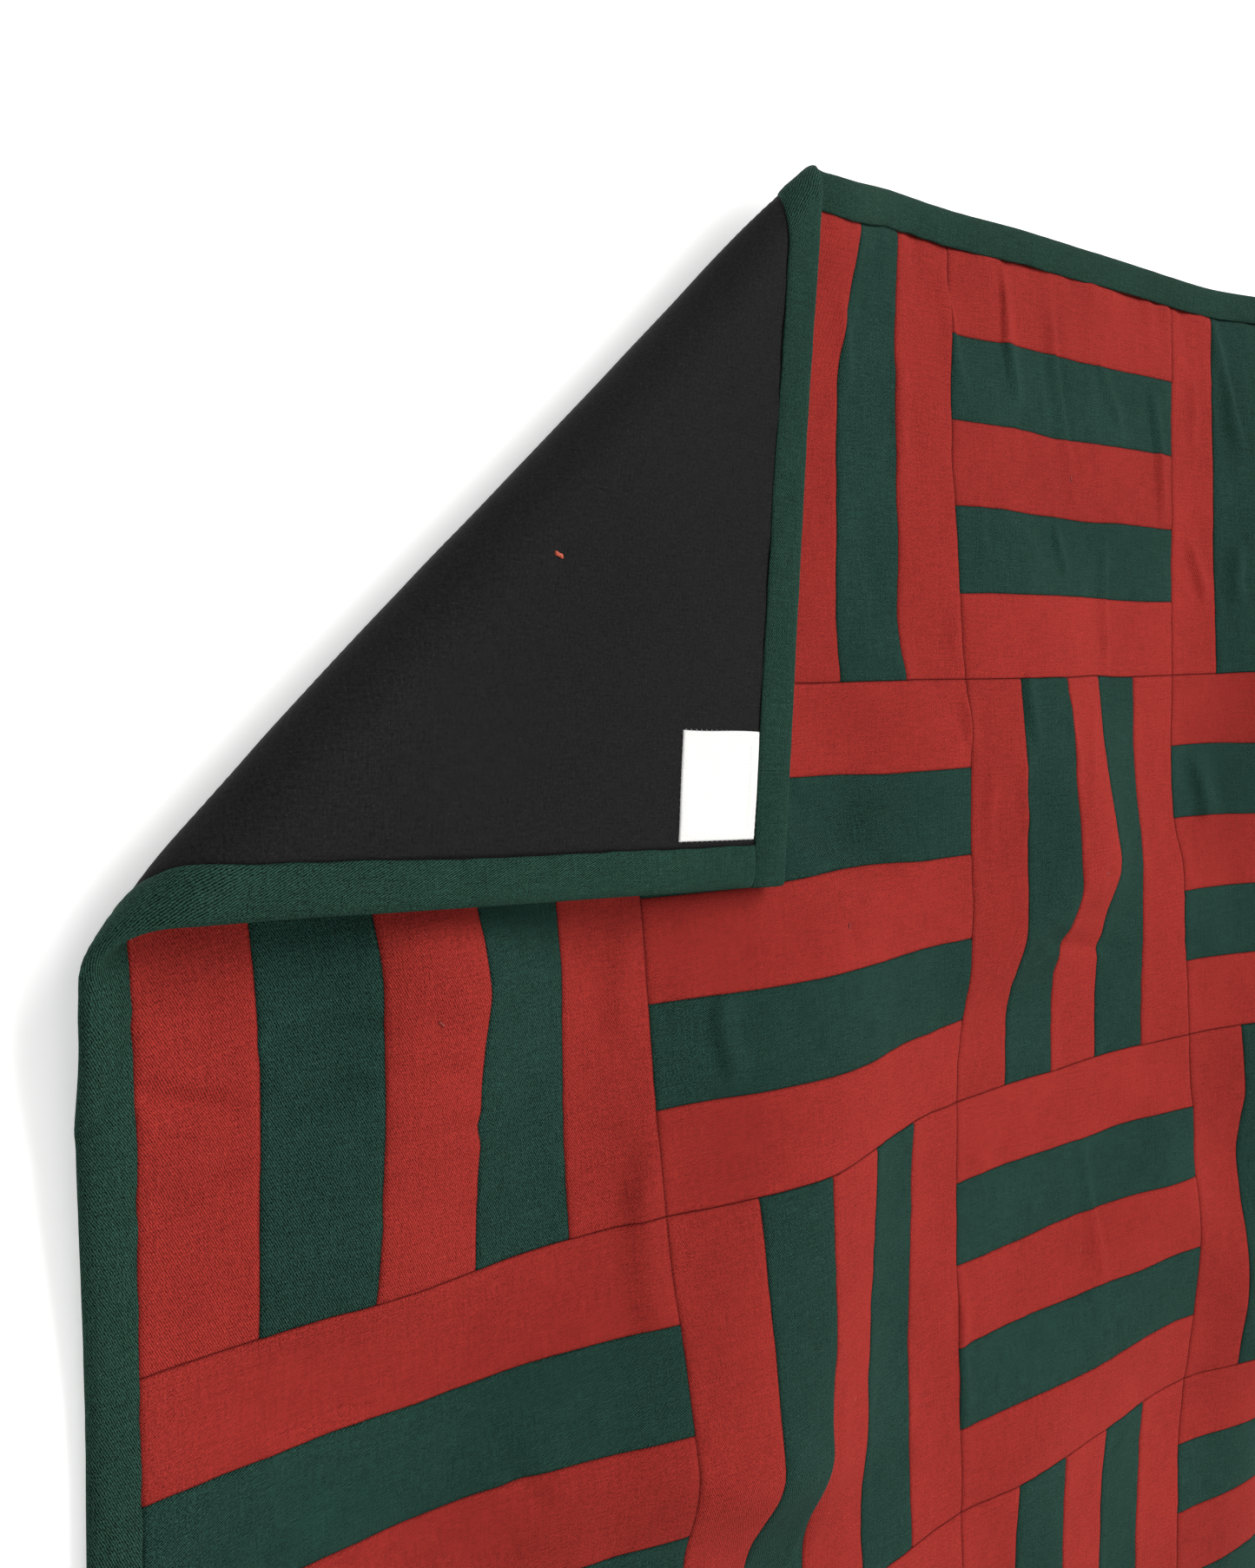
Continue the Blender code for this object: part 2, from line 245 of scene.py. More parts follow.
# ------------------------------------------------------------------------
# smooth unevenness
# ------------------------------------------------------------------------
def unevenness(x, y, cell, seed):
    """Smooth value noise in -1..1 with the given cell size, the same on each run."""
    table = np.random.default_rng(seed).uniform(-1, 1, (256, 256))
    gx, gy = np.asarray(x) / cell, np.asarray(y) / cell
    ix, iy = np.floor(gx).astype(int), np.floor(gy).astype(int)
    fx, fy = gx - ix, gy - iy
    fx, fy = fx * fx * fx * (fx * (fx * 6 - 15) + 10), fy * fy * fy * (fy * (fy * 6 - 15) + 10)

    def at(i, j):
        return table[(ix + i) % 256, (iy + j) % 256]

    return ((at(0, 0) * (1 - fx) + at(1, 0) * fx) * (1 - fy)
            + (at(0, 1) * (1 - fx) + at(1, 1) * fx) * fy)


def wander(u, v):
    """Small drift of the seams within the cloth, none at the edges."""
    keep = (np.clip((u - BIND) / 0.04, 0, 1) * np.clip((WIDTH - BIND - u) / 0.04, 0, 1)
            * np.clip((v - BIND) / 0.04, 0, 1) * np.clip((LENGTH - BIND - v) / 0.04, 0, 1))
    du = 0.0011 * unevenness(u, v, 0.085, 11) + 0.0006 * unevenness(u, v, 0.034, 12)
    dv = 0.0011 * unevenness(u, v, 0.080, 13) + 0.0006 * unevenness(u, v, 0.037, 14)
    return keep * du, keep * dv


def upright(bi, bj):
    """Whether a block's strips run up and down; its neighbours' run across."""
    return (bi + bj) % 2 == 1


def block_of(u, v):
    bi = np.clip(((u - BIND) // (BLOCK * STRIP)).astype(int), 0, ACROSS // BLOCK - 1)
    bj = np.clip(((v - BIND) // (BLOCK * STRIP)).astype(int), 0, DOWN // BLOCK - 1)
    return bi, bj


# ties through the middle of each block, a little off centre as when sewn by hand
TIES = []
_hand = np.random.default_rng(5)
for _bj in range(DOWN // BLOCK):
    for _bi in range(ACROSS // BLOCK):
        _du, _dv = _hand.uniform(-0.006, 0.006, 2)
        if (_bi, _bj) == (0, 0):
            _du, _dv = 0.0005, 0.0057
        TIES.append((BIND + (_bi + 0.5) * BLOCK * STRIP + _du + 0.001,
                     BIND + (_bj + 0.5) * BLOCK * STRIP + _dv + 0.004,
                     upright(_bi, _bj), _hand.uniform(-0.5, 0.5)))


def seam_distance(u, v):
    """Signed distance to the nearest seam each way, where a seam runs there."""
    bi, bj = block_of(u, v)
    up = upright(bi, bj)
    x, y = u - BIND, v - BIND
    size = BLOCK * STRIP

    def nearest(t, pitch):
        return (t + pitch / 2) % pitch - pitch / 2

    across = np.where(up, nearest(x, STRIP), nearest(x, size))
    down = np.where(up, nearest(y, size), nearest(y, STRIP))
    return across, down


def front_relief(u, v):
    """Fine relief of the front cloth above its even face, in metres, and the painted shade along its seams."""
    across, down = seam_distance(u, v)
    mm = 0.001
    relief = np.zeros(np.broadcast(u, v).shape)
    seam_shade = np.zeros(relief.shape)
    for d, run, seed in ((across, v, 21), (down, u, 31)):
        a = np.abs(d) / mm
        relief -= mm * (0.42 * np.exp(-(a / 0.70) ** 2) + 0.20 * np.exp(-(a / 3.2) ** 2))
        # the seam's turnings lie under one side of it
        relief += mm * 0.22 * (1 / (1 + np.exp(-(d / mm - 1.0) * 2.2))) \
            * (1 / (1 + np.exp((d / mm - 6.8) * 1.6)))
        # small puckers along the stitching
        pucker = unevenness(run, d * 0 + seed, 0.0075, seed) * np.exp(-a / 5.5)
        relief += mm * 0.26 * pucker
        # painted shade along the seam line
        seam_shade = np.maximum(seam_shade, np.exp(-(a / 0.44) ** 2))
    # slack between the seams
    relief += mm * (0.55 * unevenness(u, v, 0.046, 41) + 0.34 * unevenness(u, v, 0.021, 42)
                    + 0.12 * unevenness(u, v, 0.0105, 43))
    us, vs = u / STRIP, v / STRIP
    for u0, v0, u1, v1, left, right, rise in CREASES:
        run = math.hypot(u1 - u0, v1 - v0)
        du, dv = (u1 - u0) / run, (v1 - v0) / run
        along = ((us - u0) * du + (vs - v0) * dv) / run
        aside = ((us - u0) * dv - (vs - v0) * du) * STRIP / mm
        aside = aside + 2.5 * np.sin(along * 5.0 + u0)
        ends = np.clip(along / 0.25, 0, 1) * np.clip((1 - along) / 0.25, 0, 1)
        ends = ends * ends * (3 - 2 * ends)
        # a trough has a low swell on either side, a ridge a slight dip
        beside = 2.0 if rise < 0 else 0.8
        t = (aside / np.where(aside > 0, right, left) / (1.12 if rise < 0 else 1.0)) ** 2
        relief += mm * rise * ends * (1 - beside * t) * np.exp(-t)
    # the cloth is gathered a little where the top and left bindings hold it
    fade_v = 0.75 * np.exp(-np.maximum(v - BIND, 0) / 0.060) + 0.50 * np.exp(-np.maximum(v - BIND, 0) / 0.200)
    fade_u = np.exp(-np.maximum(u - BIND, 0) / 0.045)
    relief += mm * 0.95 * unevenness(u - 0.16 * v, v * 0.10, 0.0115, 51) * fade_v
    relief += mm * 0.45 * unevenness(v + 0.10 * u, u * 0.10, 0.0125, 52) * fade_u
    # dimples and drawn lines at the ties
    for tu, tv, up, lean in TIES:
        x, y = (u - tu) / mm, (v - tv) / mm
        if not up:
            x, y = -y, x
        c, s = math.cos(lean), math.sin(lean)
        x, y = c * x - s * y, s * x + c * y
        r = np.hypot(x, y)
        relief -= mm * (1.25 * np.exp(-(r / 3.2) ** 2) + 0.55 * np.exp(-(r / 11.0) ** 2))
        angle = np.arctan2(y, x)
        draw = np.cos(3 * angle + lean * 4) * np.exp(-((r - 9) / 8.5) ** 2)
        relief += mm * 0.30 * draw
    # down under the binding's edge, with painted shade along it
    edge = np.minimum(np.minimum(u, WIDTH - u), np.minimum(v, LENGTH - v)) - BIND
    relief -= mm * 0.42 * np.exp(-(np.maximum(edge, 0) / mm / 1.8) ** 2)
    seam_shade = np.maximum(seam_shade, np.exp(-(np.maximum(edge, 0) / mm / 0.55) ** 2))
    relief = np.where(edge < 0, -0.0012, np.clip(relief, -0.0027, 0.0032))
    return relief, np.clip(seam_shade, 0, 1)


# ------------------------------------------------------------------------
# mesh building
# ------------------------------------------------------------------------
def make_object(name, points, faces, smooth=True):
    mesh = bpy.data.meshes.new(name)
    mesh.from_pydata(points.reshape(-1, 3).tolist(), [], faces)
    mesh.update()
    if smooth:
        mesh.shade_smooth()
    piece = bpy.data.objects.new(name, mesh)
    bpy.context.scene.collection.objects.link(piece)
    return piece


def closed_sheet(n, m):
    """Faces of a closed sheet on an n by m grid: front vertices first, then back ones."""
    i, j = np.meshgrid(np.arange(n - 1), np.arange(m - 1), indexing="ij")
    i, j = i.ravel(), j.ravel()

    def f(a, b):
        return a * m + b

    def k(a, b):
        return n * m + a * m + b

    front = np.stack([f(i, j), f(i, j + 1), f(i + 1, j + 1), f(i + 1, j)], -1)
    back = np.stack([k(i, j), k(i + 1, j), k(i + 1, j + 1), k(i, j + 1)], -1)
    a, b = np.arange(n - 1), np.arange(m - 1)
    left = np.stack([f(0, b), k(0, b), k(0, b + 1), f(0, b + 1)], -1)
    right = np.stack([f(n - 1, b), f(n - 1, b + 1), k(n - 1, b + 1), k(n - 1, b)], -1)
    top = np.stack([f(a, 0), f(a + 1, 0), k(a + 1, 0), k(a, 0)], -1)
    low = np.stack([f(a, m - 1), k(a, m - 1), k(a + 1, m - 1), f(a + 1, m - 1)], -1)
    return np.concatenate([front, back, left, right, top, low])


def set_uv(piece, name, pairs):
    layer = piece.data.uv_layers.new(name=name)
    layer.data.foreach_set("uv", np.ascontiguousarray(pairs, dtype=np.float32).ravel())


def set_value(piece, name, values, domain="POINT"):
    layer = piece.data.attributes.new(name, "FLOAT", domain)
    layer.data.foreach_set("value", np.ascontiguousarray(values, dtype=np.float32).ravel())


# ------------------------------------------------------------------------
# materials
# ------------------------------------------------------------------------
# spacing of the twill's ribs across the strip and along it, which makes them steep
RIB_ACROSS, RIB_ALONG = 0.00100, 0.00190


class Nodes:
    """Short hand for building a material's nodes."""

    def __init__(self, name):
        self.material = bpy.data.materials.new(name)
        self.material.use_nodes = True
        self.tree = self.material.node_tree
        self.shader = self.tree.nodes["Principled BSDF"]

    def make(self, kind, **values):
        node = self.tree.nodes.new(kind)
        for key, value in values.items():
            setattr(node, key, value)
        return node

    def join(self, a, b):
        self.tree.links.new(a, b)

    def math(self, what, a, b=None, c=None, clamp=False):
        node = self.make("ShaderNodeMath", operation=what, use_clamp=clamp)
        for n, value in enumerate((a, b, c)):
            if value is None:
                continue
            if isinstance(value, (int, float)):
                node.inputs[n].default_value = value
            else:
                self.join(value, node.inputs[n])
        return node.outputs[0]

    def spots(self, vector, scale, detail=2.0, rough=0.5, stretch=None):
        if stretch:
            mapping = self.make("ShaderNodeMapping")
            mapping.inputs["Scale"].default_value = stretch
            self.join(vector, mapping.inputs["Vector"])
            vector = mapping.outputs[0]
        node = self.make("ShaderNodeTexNoise", noise_dimensions="2D")
        node.inputs["Scale"].default_value = scale
        node.inputs["Detail"].default_value = detail
        node.inputs["Roughness"].default_value = rough
        self.join(vector, node.inputs["Vector"])
        return node.outputs["Fac"]

    def span(self, value, low, high, to_low, to_high, clamp=True):
        node = self.make("ShaderNodeMapRange", clamp=clamp)
        for key, number in (("From Min", low), ("From Max", high), ("To Min", to_low), ("To Max", to_high)):
            node.inputs[key].default_value = number
        self.join(value, node.inputs["Value"])
        return node.outputs["Result"]

    def scale_colour(self, colour, factor):
        node = self.make("ShaderNodeVectorMath", operation="SCALE")
        if isinstance(colour, tuple):
            node.inputs[0].default_value = colour
        else:
            self.join(colour, node.inputs[0])
        self.join(factor, node.inputs["Scale"])
        return node.outputs[0]

    def blend_colour(self, factor, a, b):
        node = self.make("ShaderNodeMix", data_type="RGBA")
        self.join(factor, node.inputs["Factor"])
        for slot, value in ((6, a), (7, b)):
            if isinstance(value, tuple):
                node.inputs[slot].default_value = (*value, 1.0)
            else:
                self.join(value, node.inputs[slot])
        return node.outputs[2]


def twill(name, colour, lift, sheen_tint, depth, uneven, rough=0.88, sheen=0.01):
    """Cotton twill: steep slanting ribs, thick and thin yarns, light specks and slubs."""
    n = Nodes(name)
    grain = n.make("ShaderNodeUVMap", uv_map="grain").outputs[0]
    flat = n.make("ShaderNodeUVMap", uv_map="flat").outputs[0]
    split = n.make("ShaderNodeSeparateXYZ")
    n.join(grain, split.inputs[0])
    x, y = split.outputs[0], split.outputs[1]
    wobble = n.spots(grain, 640.0, 2.0)
    slant = n.math("MULTIPLY_ADD", x, 2 * math.pi / RIB_ACROSS, n.math("MULTIPLY", y, 2 * math.pi / RIB_ALONG))
    phase = n.math("MULTIPLY_ADD", wobble, 4.0, slant)
    rib = n.math("MULTIPLY_ADD", n.math("SINE", phase), 0.5, 0.5)
    # each rib is a row of floats, with a small dark pit where one ends
    cross = n.math("MULTIPLY_ADD", x, 2 * math.pi / 0.00125, n.math("MULTIPLY", y, -2 * math.pi / 0.00082))
    beads = n.math("MULTIPLY_ADD", n.math("SINE", n.math("MULTIPLY_ADD", wobble, 6.5, cross)), 0.5, 0.5)
    weave = n.math("MULTIPLY", rib, n.math("MULTIPLY_ADD", beads, 0.46, 0.54))

    # thick and thin yarns run with the grain and across it
    warp = n.spots(grain, 1.0, 1.0, stretch=(1000.0, 60.0, 1.0))
    fill = n.spots(grain, 1.0, 1.0, stretch=(60.0, 900.0, 1.0))
    streak = n.math("SUBTRACT", n.math("ADD", warp, fill), 1.0)
    cloud = n.math("SUBTRACT", n.spots(grain, 380.0, 2.0, 0.62), 0.5)
    broad = n.math("SUBTRACT", n.spots(flat, 15.0, 4.0, 0.58), 0.5)
    grit = n.math("SUBTRACT", n.spots(grain, 1250.0, 0.0), 0.5)

    tone = n.make("ShaderNodeAttribute", attribute_name="tone").outputs["Fac"]
    seam = n.make("ShaderNodeAttribute", attribute_name="seam").outputs["Fac"]
    level = n.math("MULTIPLY_ADD", weave, depth, 1.0 - depth * 0.39)
    level = n.math("MULTIPLY_ADD", streak, 0.34 * uneven, level)
    level = n.math("MULTIPLY_ADD", cloud, 0.36 * uneven, level)
    level = n.math("MULTIPLY_ADD", grit, 1.05 * uneven, level)
    level = n.math("MULTIPLY_ADD", broad, 0.34 * uneven, level)
    level = n.math("MULTIPLY", n.math("MAXIMUM", level, 0.10), tone)
    # painted shade: the cloth darkened along the seams and the binding's edge
    level = n.math("MULTIPLY", level, n.math("MULTIPLY_ADD", seam, -0.66, 1.0))
    body = n.scale_colour(colour, level)

    speck = n.span(n.spots(grain, 1500.0, 1.0), 0.70, 0.80, 0.0, 0.34)
    slub = n.span(n.spots(grain, 1.0, 0.0, stretch=(1900.0, 420.0, 1.0)), 0.86, 0.92, 0.0, 0.55)
    light = n.math("MULTIPLY", n.math("MAXIMUM", speck, slub), n.math("SUBTRACT", 1.0, seam))
    n.join(n.blend_colour(light, body, lift), n.shader.inputs["Base Color"])

    bump = n.make("ShaderNodeBump")
    bump.inputs["Strength"].default_value = 0.62
    bump.inputs["Distance"].default_value = 0.00022
    n.join(n.math("ADD", weave, n.math("MULTIPLY", streak, 0.8)), bump.inputs["Height"])
    n.join(bump.outputs[0], n.shader.inputs["Normal"])
    n.join(n.math("MULTIPLY_ADD", weave, -0.10, rough + 0.05, clamp=True), n.shader.inputs["Roughness"])
    n.shader.inputs["Specular IOR Level"].default_value = 0.03
    n.shader.inputs["Sheen Weight"].default_value = sheen
    n.shader.inputs["Sheen Roughness"].default_value = 0.45
    n.shader.inputs["Sheen Tint"].default_value = (*sheen_tint, 1.0)
    return n.material


def plain_cloth(name, colour, lift, count=0.00055, rough=0.86, sheen=0.01, tint=(1, 1, 1),
                uneven=1.0, bump_by=0.00012, lint=0.5):
    """Plain weave: one over, one under."""
    n = Nodes(name)
    flat = n.make("ShaderNodeUVMap", uv_map="flat").outputs[0]
    split = n.make("ShaderNodeSeparateXYZ")
    n.join(flat, split.inputs[0])
    turn = 2 * math.pi / (2 * count)
    a = n.math("SINE", n.math("MULTIPLY", split.outputs[0], turn))
    b = n.math("SINE", n.math("MULTIPLY", split.outputs[1], turn))
    weave = n.math("MULTIPLY_ADD", n.math("MULTIPLY", a, b), 0.5, 0.5)
    warp = n.spots(flat, 1.0, 2.0, stretch=(1500.0, 130.0, 1.0))
    fill = n.spots(flat, 1.0, 2.0, stretch=(130.0, 1500.0, 1.0))
    streak = n.math("ADD", n.math("SUBTRACT", warp, 0.5), n.math("SUBTRACT", fill, 0.5))
    broad = n.math("SUBTRACT", n.spots(flat, 11.0, 3.0), 0.5)
    level = n.math("MULTIPLY_ADD", weave, 1.1 * uneven, 1.0 - 0.55 * uneven)
    level = n.math("MULTIPLY_ADD", streak, 0.62 * uneven, level)
    cloud = n.math("SUBTRACT", n.spots(flat, 760.0, 1.0, 0.6), 0.5)
    level = n.math("MULTIPLY_ADD", cloud, 1.05 * uneven, level)
    level = n.math("MULTIPLY_ADD", broad, 0.22 * uneven, level)
    seam = n.make("ShaderNodeAttribute", attribute_name="seam").outputs["Fac"]
    # painted shade: the cloth darkened along the seams and edges
    level = n.math("MULTIPLY", level, n.math("MULTIPLY_ADD", seam, -0.55, 1.0))
    body = n.scale_colour(colour, level)
    speck = n.span(n.spots(flat, 900.0, 1.0), 0.70, 0.82, 0.0, lint)
    n.join(n.blend_colour(speck, body, lift), n.shader.inputs["Base Color"])
    bump = n.make("ShaderNodeBump")
    bump.inputs["Strength"].default_value = 0.55
    bump.inputs["Distance"].default_value = bump_by
    n.join(n.math("ADD", weave, streak), bump.inputs["Height"])
    n.join(bump.outputs[0], n.shader.inputs["Normal"])
    n.join(n.math("MULTIPLY_ADD", weave, -0.08, rough + 0.04, clamp=True), n.shader.inputs["Roughness"])
    n.shader.inputs["Specular IOR Level"].default_value = 0.04
    n.shader.inputs["Sheen Weight"].default_value = sheen
    n.shader.inputs["Sheen Roughness"].default_value = 0.5
    n.shader.inputs["Sheen Tint"].default_value = (*tint, 1.0)
    return n.material


RED = (0.270, 0.0240, 0.0194)
GREEN = (0.0136, 0.0400, 0.0310)
BIND_GREEN = (0.0142, 0.0400, 0.0296)
BLACK = (0.0128, 0.0124, 0.0126)

red_twill = twill("red_twill", RED, (0.42, 0.085, 0.065), (0.9, 0.45, 0.4), depth=1.04, uneven=0.84)
green_twill = twill("green_twill", GREEN, (0.075, 0.135, 0.115), (0.5, 0.75, 0.68), depth=1.92, uneven=1.36)
bind_twill = twill("binding_twill", BIND_GREEN, (0.075, 0.135, 0.11), (0.5, 0.75, 0.66), depth=1.96, uneven=1.36)
backing_cloth = plain_cloth("backing_cotton", BLACK, (0.06, 0.055, 0.06), lint=0.35,
                            tint=(0.8, 0.8, 0.9), sheen=0.01)
label_cloth = plain_cloth("label_cotton", (0.80, 0.80, 0.79), (0.86, 0.86, 0.85), count=0.00035,
                          rough=0.75, sheen=0.02, uneven=0.10, lint=0.3)


def thread_material(name, colour, lift):
    n = Nodes(name)
    where = n.make("ShaderNodeTexCoord").outputs["Object"]
    ply = n.make("ShaderNodeTexWave", wave_type="BANDS", bands_direction="DIAGONAL")
    ply.inputs["Scale"].default_value = 900.0
    ply.inputs["Distortion"].default_value = 1.5
    n.join(where, ply.inputs["Vector"])
    n.join(n.blend_colour(n.span(ply.outputs["Fac"], 0.0, 1.0, 0.0, 0.7), colour, lift),
           n.shader.inputs["Base Color"])
    bump = n.make("ShaderNodeBump")
    bump.inputs["Strength"].default_value = 0.6
    bump.inputs["Distance"].default_value = 0.0001
    n.join(ply.outputs["Fac"], bump.inputs["Height"])
    n.join(bump.outputs[0], n.shader.inputs["Normal"])
    n.shader.inputs["Roughness"].default_value = 0.7
    return n.material


red_thread = thread_material("red_thread", (0.20, 0.018, 0.014), (0.34, 0.035, 0.026))
rust_thread = thread_material("rust_thread", (0.42, 0.060, 0.025), (0.60, 0.11, 0.05))
white_thread = thread_material("white_thread", (0.62, 0.62, 0.61), (0.80, 0.80, 0.79))

# ------------------------------------------------------------------------
# the front: rows of blocks, each strip its own patch of twill
# ------------------------------------------------------------------------
STEPS_MM = (0.0, 0.45, 1.2, 3.4, 8.0, 13.5, 19.0, 25.0, 31.0, 36.5, 41.5, 45.8, 48.8, 49.55)
# closer where the creases are
CLOSE_MM = (0.0, 0.45, 1.2, 3.0, 5.6, 8.6, 11.8, 15.0, 18.2, 21.4, 24.6, 27.8, 31.0, 34.2, 37.4, 40.6,
            43.8, 46.8, 48.8, 49.55)
CLOSE_ACROSS, CLOSE_DOWN = range(5, 17), range(7, 10)


def strip_lines(count, first, start, close):
    lines = [first + STRIP * k + s / 1000 for k in range(count)
             for s in (CLOSE_MM if start + k in close else STEPS_MM)]
    return lines + [first + STRIP * count]


def front_row(bj):
    us = np.array([INSET, 0.007, 0.014] + strip_lines(ACROSS, BIND, 0, CLOSE_ACROSS)
                  + [WIDTH - 0.014, WIDTH - 0.007, WIDTH - INSET])
    low = BIND + bj * BLOCK * STRIP
    vs = strip_lines(BLOCK, low, bj * BLOCK, CLOSE_DOWN)
    if bj == 0:
        vs = [INSET, 0.007, 0.014] + vs
    if bj == DOWN // BLOCK - 1:
        vs = vs + [LENGTH - 0.014, LENGTH - 0.007, LENGTH - INSET]
    # neighbouring rows meet in the seam, a hair apart
    hair = 0.00006
    vs = np.array(vs)
    inner = vs.copy()
    if bj > 0:
        vs[0] += hair
    if bj < DOWN // BLOCK - 1:
        vs[-1] -= hair
    u, v = np.meshgrid(us, vs, indexing="ij")
    u_even, v_even = np.meshgrid(us, np.clip(inner, low + 1e-6 if bj else 0.0, None), indexing="ij")
    v_even = np.clip(v_even, None, low + BLOCK * STRIP - 1e-6) if bj < DOWN // BLOCK - 1 else v_even
    relief, seam_shade = front_relief(np.clip(u_even, 1e-6, None), v_even)
    du, dv = wander(u, v)
    front_points = hang(u + du, v + dv, FRONT + relief)
    back_points = hang(u + du, v + dv, np.full(u.shape, FRONT - TOP_T))
    faces = closed_sheet(len(us), len(vs))
    piece = make_object(f"front_row_{bj + 1}", np.stack([front_points, back_points]), faces.tolist())

    # which patch each face belongs to
    flat_u, flat_v = np.tile(u.ravel(), 2), np.tile(v.ravel(), 2)
    cu, cv = flat_u[faces].mean(1), flat_v[faces].mean(1)
    bi, bjj = block_of(cu, np.clip(cv, low + 1e-5, low + BLOCK * STRIP - 1e-5))
    up = upright(bi, bjj)
    x = np.clip(cu - BIND, 0, ACROSS * STRIP - 1e-6) - bi * BLOCK * STRIP
    y = np.clip(cv - BIND, 0, DOWN * STRIP - 1e-6) - bjj * BLOCK * STRIP
    strip = np.clip((np.where(up, x, y) // STRIP).astype(int), 0, BLOCK - 1)
    colour = strip % 2
    piece.data.materials.append(red_twill)
    piece.data.materials.append(green_twill)
    piece.data.polygons.foreach_set("material_index", colour.astype(np.int32))
    patch = (bjj * (ACROSS // BLOCK) + bi) * BLOCK + strip
    lots = np.random.default_rng(77)
    tones = lots.uniform(0.94, 1.05, 200)
    shifts = lots.uniform(0, 0.01, (200, 2))
    set_value(piece, "tone", tones[patch], "FACE")
    # painted shade along the seams, stored as the seam attribute
    set_value(piece, "seam", np.concatenate([seam_shade.ravel(), seam_shade.ravel()]))
    lu, lv = flat_u[faces], flat_v[faces]
    set_uv(piece, "flat", np.stack([lu, -lv], -1))
    along = np.where(up[:, None], lu, lv) + shifts[patch, 0][:, None]
    other = np.where(up[:, None], lv, -lu) + shifts[patch, 1][:, None]
    set_uv(piece, "grain", np.stack([along, -other], -1))
    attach(piece, "root")
    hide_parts("pieced_top")
    return piece


front_rows = [front_row(bj) for bj in range(DOWN // BLOCK)]

# ------------------------------------------------------------------------
# the backing
# ------------------------------------------------------------------------


def back_relief(u, v):
    mm = 0.001
    relief = mm * (0.40 * unevenness(u, v, 0.070, 61) + 0.22 * unevenness(u, v, 0.030, 62))
    for tu, tv, up, lean in TIES:
        r = np.hypot(u - tu, v - tv) / mm
        relief = relief - mm * (1.0 * np.exp(-(r / 2.6) ** 2) + 0.45 * np.exp(-(r / 10.0) ** 2))
    edge = np.minimum(np.minimum(u, WIDTH - u), np.minimum(v, LENGTH - v)) - BIND
    e = np.maximum(edge, 0) / mm
    for side, run in ((np.minimum(u, WIDTH - u), v), (np.minimum(v, LENGTH - v), u)):
        d = np.maximum(side - BIND, 0) / mm
        relief = relief + mm * 0.30 * unevenness(run, d * 0 + 3, 0.011, 63) * np.exp(-d / 7.0)
    relief = relief - mm * 0.35 * np.exp(-(e / 1.8) ** 2)
    # painted shade along the binding's edge
    seam_shade = np.where(edge < 0, 1.0, np.exp(-(e / 0.7) ** 2))
    return np.where(edge < 0, -0.0004, np.clip(relief, -0.0016, 0.0008)), seam_shade


def make_backing():
    def lines(side, bend):
        # closer up to where the fold ends
        inner = np.concatenate([np.linspace(BIND, bend, int((bend - BIND) / 0.0036) + 1),
                                np.linspace(bend, side - BIND, int((side - BIND - bend) / 0.0076) + 1)])
        near = np.array([0.0006, 0.0014, 0.0028])
        return np.unique(np.round(np.concatenate(
            [[INSET, 0.011], inner, BIND + near, side - BIND - near, [side - 0.011, side - INSET]]), 6))

    us, vs = lines(WIDTH, FOLD_ACROSS + 0.024), lines(LENGTH, FOLD_DOWN + 0.024)
    u, v = np.meshgrid(us, vs, indexing="ij")
    relief, seam_shade = back_relief(u, v)
    inner_face = hang(u, v, np.full(u.shape, BACK + BACK_T))
    outer_face = hang(u, v, BACK - relief)
    faces = closed_sheet(len(us), len(vs))
    piece = make_object("backing_cloth", np.stack([inner_face, outer_face]), faces.tolist())
    flat_u, flat_v = np.tile(u.ravel(), 2), np.tile(v.ravel(), 2)
    set_uv(piece, "flat", np.stack([flat_u[faces], -flat_v[faces]], -1))
    # painted shade along the binding's edge, stored as the seam attribute
    set_value(piece, "seam", np.concatenate([seam_shade.ravel(), seam_shade.ravel()]))
    piece.data.materials.append(backing_cloth)
    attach(piece, "root")
    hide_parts("backing")
    return piece


backing = make_backing()

# ------------------------------------------------------------------------
# the binding
# ------------------------------------------------------------------------
# one face of the channel from its sewn edge to the outer edge: depth in from the
# quilt's edge, and height above the middle, in millimetres
BIND_FACE = (
    # in, height
    (21.00, 2.32), (20.85, 2.72), (20.40, 3.08), (19.00, 3.52), (16.00, 3.98), (12.00, 4.25),
    (8.00, 4.28), (5.00, 4.05), (3.00, 3.55), (1.55, 2.75), (0.55, 1.70), (0.08, 0.60),
)
BIND_INSIDE = (
    # in, height
    (20.90, 2.28), (20.3, 2.50), (18.5, 2.72), (12.0, 2.80), (5.0, 2.78), (2.6, 2.70), (1.5, 2.0), (1.0, 0.8),
)


def binding_profile():
    outer = [(a, b) for a, b in BIND_FACE] + [(a, -b) for a, b in reversed(BIND_FACE)]
    inner = [(a, b) for a, b in BIND_INSIDE] + [(a, -b) for a, b in reversed(BIND_INSIDE)]
    return np.array(outer) / 1000, np.array(inner) / 1000


